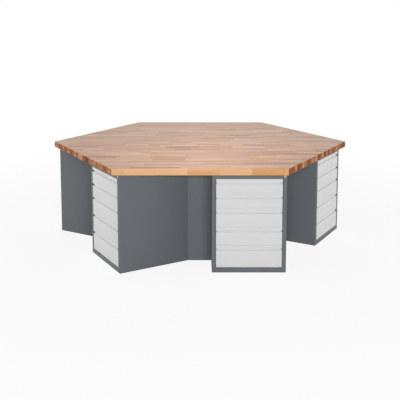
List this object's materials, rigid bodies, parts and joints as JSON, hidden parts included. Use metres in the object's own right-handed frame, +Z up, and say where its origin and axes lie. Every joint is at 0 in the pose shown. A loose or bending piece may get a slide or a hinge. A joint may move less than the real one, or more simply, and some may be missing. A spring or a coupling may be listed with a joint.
{
  "type": "workbench",
  "caption": "Hexagonal group workbench with a thick beech top on steel drawer cabinets, open knee space at each side.",
  "frame": {"origin": "on the floor under the middle of the hexagonal worktop", "axes": "+Z up; -Y out of the front side that the picture faces; +X to the right along that side, through two corners of the top"},
  "size_m": [2.698, 2.3382, 0.84],
  "materials": {
    "beech_top": "oiled laminated beech",
    "slate_steel": "slate grey powder coat",
    "light_steel": "light grey powder coat",
    "zinc_steel": "zinc plated",
    "chrome": "polished"
  },
  "bodies": {
    "bench": {"worktop": "beech_top", "cabinet_1_housing": "slate_steel", "cabinet_2_housing": "slate_steel", "cabinet_3_housing": "slate_steel", "cabinet_4_housing": "slate_steel", "cabinet_5_housing": "slate_steel", "cabinet_6_housing": "slate_steel", "filler_panel_1": "slate_steel", "filler_panel_2": "slate_steel", "filler_panel_3": "slate_steel", "filler_panel_4": "slate_steel", "filler_panel_5": "slate_steel", "filler_panel_6": "slate_steel"},
    "cabinet_1_drawer_1": {"cabinet_1_drawer_1": "light_steel"},
    "cabinet_1_drawer_2": {"cabinet_1_drawer_2": "light_steel"},
    "cabinet_1_drawer_3": {"cabinet_1_drawer_3": "light_steel"},
    "cabinet_1_drawer_4": {"cabinet_1_drawer_4": "light_steel"},
    "cabinet_1_drawer_5": {"cabinet_1_drawer_5": "light_steel"},
    "cabinet_1_locking_bar": {"cabinet_1_locking_bar": "zinc_steel"},
    "cabinet_1_lock": {"cabinet_1_lock": "chrome"},
    "cabinet_2_drawer_1": {"cabinet_2_drawer_1": "light_steel"},
    "cabinet_2_drawer_2": {"cabinet_2_drawer_2": "light_steel"},
    "cabinet_2_drawer_3": {"cabinet_2_drawer_3": "light_steel"},
    "cabinet_2_drawer_4": {"cabinet_2_drawer_4": "light_steel"},
    "cabinet_2_drawer_5": {"cabinet_2_drawer_5": "light_steel"},
    "cabinet_2_locking_bar": {"cabinet_2_locking_bar": "zinc_steel"},
    "cabinet_2_lock": {"cabinet_2_lock": "chrome"},
    "cabinet_3_drawer_1": {"cabinet_3_drawer_1": "light_steel"},
    "cabinet_3_drawer_2": {"cabinet_3_drawer_2": "light_steel"},
    "cabinet_3_drawer_3": {"cabinet_3_drawer_3": "light_steel"},
    "cabinet_3_drawer_4": {"cabinet_3_drawer_4": "light_steel"},
    "cabinet_3_drawer_5": {"cabinet_3_drawer_5": "light_steel"},
    "cabinet_3_locking_bar": {"cabinet_3_locking_bar": "zinc_steel"},
    "cabinet_3_lock": {"cabinet_3_lock": "chrome"},
    "cabinet_4_drawer_1": {"cabinet_4_drawer_1": "light_steel"},
    "cabinet_4_drawer_2": {"cabinet_4_drawer_2": "light_steel"},
    "cabinet_4_drawer_3": {"cabinet_4_drawer_3": "light_steel"},
    "cabinet_4_drawer_4": {"cabinet_4_drawer_4": "light_steel"},
    "cabinet_4_drawer_5": {"cabinet_4_drawer_5": "light_steel"},
    "cabinet_4_locking_bar": {"cabinet_4_locking_bar": "zinc_steel"},
    "cabinet_4_lock": {"cabinet_4_lock": "chrome"},
    "cabinet_5_drawer_1": {"cabinet_5_drawer_1": "light_steel"},
    "cabinet_5_drawer_2": {"cabinet_5_drawer_2": "light_steel"},
    "cabinet_5_drawer_3": {"cabinet_5_drawer_3": "light_steel"},
    "cabinet_5_drawer_4": {"cabinet_5_drawer_4": "light_steel"},
    "cabinet_5_drawer_5": {"cabinet_5_drawer_5": "light_steel"},
    "cabinet_5_locking_bar": {"cabinet_5_locking_bar": "zinc_steel"},
    "cabinet_5_lock": {"cabinet_5_lock": "chrome"},
    "cabinet_6_drawer_1": {"cabinet_6_drawer_1": "light_steel"},
    "cabinet_6_drawer_2": {"cabinet_6_drawer_2": "light_steel"},
    "cabinet_6_drawer_3": {"cabinet_6_drawer_3": "light_steel"},
    "cabinet_6_drawer_4": {"cabinet_6_drawer_4": "light_steel"},
    "cabinet_6_drawer_5": {"cabinet_6_drawer_5": "light_steel"},
    "cabinet_6_locking_bar": {"cabinet_6_locking_bar": "zinc_steel"},
    "cabinet_6_lock": {"cabinet_6_lock": "chrome"}
  },
  "joints": [
    {"name": "cabinet_1_drawer_1_slide", "type": "slide", "parent": "bench", "child": "cabinet_1_drawer_1", "axis": [0, -1, 0], "range_m": [0, 0.43]},
    {"name": "cabinet_1_drawer_2_slide", "type": "slide", "parent": "bench", "child": "cabinet_1_drawer_2", "axis": [0, -1, 0], "range_m": [0, 0.43]},
    {"name": "cabinet_1_drawer_3_slide", "type": "slide", "parent": "bench", "child": "cabinet_1_drawer_3", "axis": [0, -1, 0], "range_m": [0, 0.43]},
    {"name": "cabinet_1_drawer_4_slide", "type": "slide", "parent": "bench", "child": "cabinet_1_drawer_4", "axis": [0, -1, 0], "range_m": [0, 0.43]},
    {"name": "cabinet_1_drawer_5_slide", "type": "slide", "parent": "bench", "child": "cabinet_1_drawer_5", "axis": [0, -1, 0], "range_m": [0, 0.43]},
    {"name": "cabinet_1_bar_lift", "type": "slide", "parent": "bench", "child": "cabinet_1_locking_bar", "axis": [0, 0, 1], "range_m": [0, 0.012]},
    {"name": "cabinet_1_lock_turn", "type": "hinge", "parent": "bench", "child": "cabinet_1_lock", "pos_m": [0.65699, -1.10811, 0.7677], "axis": [0, 1, 0], "range_deg": [0, 90]},
    {"name": "cabinet_2_drawer_1_slide", "type": "slide", "parent": "bench", "child": "cabinet_2_drawer_1", "axis": [0.866, -0.5, 0], "range_m": [0, 0.43]},
    {"name": "cabinet_2_drawer_2_slide", "type": "slide", "parent": "bench", "child": "cabinet_2_drawer_2", "axis": [0.866, -0.5, 0], "range_m": [0, 0.43]},
    {"name": "cabinet_2_drawer_3_slide", "type": "slide", "parent": "bench", "child": "cabinet_2_drawer_3", "axis": [0.866, -0.5, 0], "range_m": [0, 0.43]},
    {"name": "cabinet_2_drawer_4_slide", "type": "slide", "parent": "bench", "child": "cabinet_2_drawer_4", "axis": [0.866, -0.5, 0], "range_m": [0, 0.43]},
    {"name": "cabinet_2_drawer_5_slide", "type": "slide", "parent": "bench", "child": "cabinet_2_drawer_5", "axis": [0.866, -0.5, 0], "range_m": [0, 0.43]},
    {"name": "cabinet_2_bar_lift", "type": "slide", "parent": "bench", "child": "cabinet_2_locking_bar", "axis": [0, 0, 1], "range_m": [0, 0.012]},
    {"name": "cabinet_2_lock_turn", "type": "hinge", "parent": "bench", "child": "cabinet_2_lock", "pos_m": [1.28815, 0.01491, 0.7677], "axis": [-0.866, 0.5, 0], "range_deg": [0, 90]},
    {"name": "cabinet_3_drawer_1_slide", "type": "slide", "parent": "bench", "child": "cabinet_3_drawer_1", "axis": [0.866, 0.5, 0], "range_m": [0, 0.43]},
    {"name": "cabinet_3_drawer_2_slide", "type": "slide", "parent": "bench", "child": "cabinet_3_drawer_2", "axis": [0.866, 0.5, 0], "range_m": [0, 0.43]},
    {"name": "cabinet_3_drawer_3_slide", "type": "slide", "parent": "bench", "child": "cabinet_3_drawer_3", "axis": [0.866, 0.5, 0], "range_m": [0, 0.43]},
    {"name": "cabinet_3_drawer_4_slide", "type": "slide", "parent": "bench", "child": "cabinet_3_drawer_4", "axis": [0.866, 0.5, 0], "range_m": [0, 0.43]},
    {"name": "cabinet_3_drawer_5_slide", "type": "slide", "parent": "bench", "child": "cabinet_3_drawer_5", "axis": [0.866, 0.5, 0], "range_m": [0, 0.43]},
    {"name": "cabinet_3_bar_lift", "type": "slide", "parent": "bench", "child": "cabinet_3_locking_bar", "axis": [0, 0, 1], "range_m": [0, 0.012]},
    {"name": "cabinet_3_lock_turn", "type": "hinge", "parent": "bench", "child": "cabinet_3_lock", "pos_m": [0.63116, 1.12302, 0.7677], "axis": [-0.866, -0.5, 0], "range_deg": [0, 90]},
    {"name": "cabinet_4_drawer_1_slide", "type": "slide", "parent": "bench", "child": "cabinet_4_drawer_1", "axis": [0, 1, 0], "range_m": [0, 0.43]},
    {"name": "cabinet_4_drawer_2_slide", "type": "slide", "parent": "bench", "child": "cabinet_4_drawer_2", "axis": [0, 1, 0], "range_m": [0, 0.43]},
    {"name": "cabinet_4_drawer_3_slide", "type": "slide", "parent": "bench", "child": "cabinet_4_drawer_3", "axis": [0, 1, 0], "range_m": [0, 0.43]},
    {"name": "cabinet_4_drawer_4_slide", "type": "slide", "parent": "bench", "child": "cabinet_4_drawer_4", "axis": [0, 1, 0], "range_m": [0, 0.43]},
    {"name": "cabinet_4_drawer_5_slide", "type": "slide", "parent": "bench", "child": "cabinet_4_drawer_5", "axis": [0, 1, 0], "range_m": [0, 0.43]},
    {"name": "cabinet_4_bar_lift", "type": "slide", "parent": "bench", "child": "cabinet_4_locking_bar", "axis": [0, 0, 1], "range_m": [0, 0.012]},
    {"name": "cabinet_4_lock_turn", "type": "hinge", "parent": "bench", "child": "cabinet_4_lock", "pos_m": [-0.65699, 1.10811, 0.7677], "axis": [0, -1, 0], "range_deg": [0, 90]},
    {"name": "cabinet_5_drawer_1_slide", "type": "slide", "parent": "bench", "child": "cabinet_5_drawer_1", "axis": [-0.866, 0.5, 0], "range_m": [0, 0.43]},
    {"name": "cabinet_5_drawer_2_slide", "type": "slide", "parent": "bench", "child": "cabinet_5_drawer_2", "axis": [-0.866, 0.5, 0], "range_m": [0, 0.43]},
    {"name": "cabinet_5_drawer_3_slide", "type": "slide", "parent": "bench", "child": "cabinet_5_drawer_3", "axis": [-0.866, 0.5, 0], "range_m": [0, 0.43]},
    {"name": "cabinet_5_drawer_4_slide", "type": "slide", "parent": "bench", "child": "cabinet_5_drawer_4", "axis": [-0.866, 0.5, 0], "range_m": [0, 0.43]},
    {"name": "cabinet_5_drawer_5_slide", "type": "slide", "parent": "bench", "child": "cabinet_5_drawer_5", "axis": [-0.866, 0.5, 0], "range_m": [0, 0.43]},
    {"name": "cabinet_5_bar_lift", "type": "slide", "parent": "bench", "child": "cabinet_5_locking_bar", "axis": [0, 0, 1], "range_m": [0, 0.012]},
    {"name": "cabinet_5_lock_turn", "type": "hinge", "parent": "bench", "child": "cabinet_5_lock", "pos_m": [-1.28815, -0.01491, 0.7677], "axis": [0.866, -0.5, 0], "range_deg": [0, 90]},
    {"name": "cabinet_6_drawer_1_slide", "type": "slide", "parent": "bench", "child": "cabinet_6_drawer_1", "axis": [-0.866, -0.5, 0], "range_m": [0, 0.43]},
    {"name": "cabinet_6_drawer_2_slide", "type": "slide", "parent": "bench", "child": "cabinet_6_drawer_2", "axis": [-0.866, -0.5, 0], "range_m": [0, 0.43]},
    {"name": "cabinet_6_drawer_3_slide", "type": "slide", "parent": "bench", "child": "cabinet_6_drawer_3", "axis": [-0.866, -0.5, 0], "range_m": [0, 0.43]},
    {"name": "cabinet_6_drawer_4_slide", "type": "slide", "parent": "bench", "child": "cabinet_6_drawer_4", "axis": [-0.866, -0.5, 0], "range_m": [0, 0.43]},
    {"name": "cabinet_6_drawer_5_slide", "type": "slide", "parent": "bench", "child": "cabinet_6_drawer_5", "axis": [-0.866, -0.5, 0], "range_m": [0, 0.43]},
    {"name": "cabinet_6_bar_lift", "type": "slide", "parent": "bench", "child": "cabinet_6_locking_bar", "axis": [0, 0, 1], "range_m": [0, 0.012]},
    {"name": "cabinet_6_lock_turn", "type": "hinge", "parent": "bench", "child": "cabinet_6_lock", "pos_m": [-0.63116, -1.12302, 0.7677], "axis": [0.866, 0.5, 0], "range_deg": [0, 90]}
  ],
  "couplings": [
    {"joint": "cabinet_1_lock_turn", "follows": "cabinet_1_bar_lift", "rad_per_m": 130.9},
    {"joint": "cabinet_2_lock_turn", "follows": "cabinet_2_bar_lift", "rad_per_m": 130.9},
    {"joint": "cabinet_3_lock_turn", "follows": "cabinet_3_bar_lift", "rad_per_m": 130.9},
    {"joint": "cabinet_4_lock_turn", "follows": "cabinet_4_bar_lift", "rad_per_m": 130.9},
    {"joint": "cabinet_5_lock_turn", "follows": "cabinet_5_bar_lift", "rad_per_m": 130.9},
    {"joint": "cabinet_6_lock_turn", "follows": "cabinet_6_bar_lift", "rad_per_m": 130.9}
  ]
}
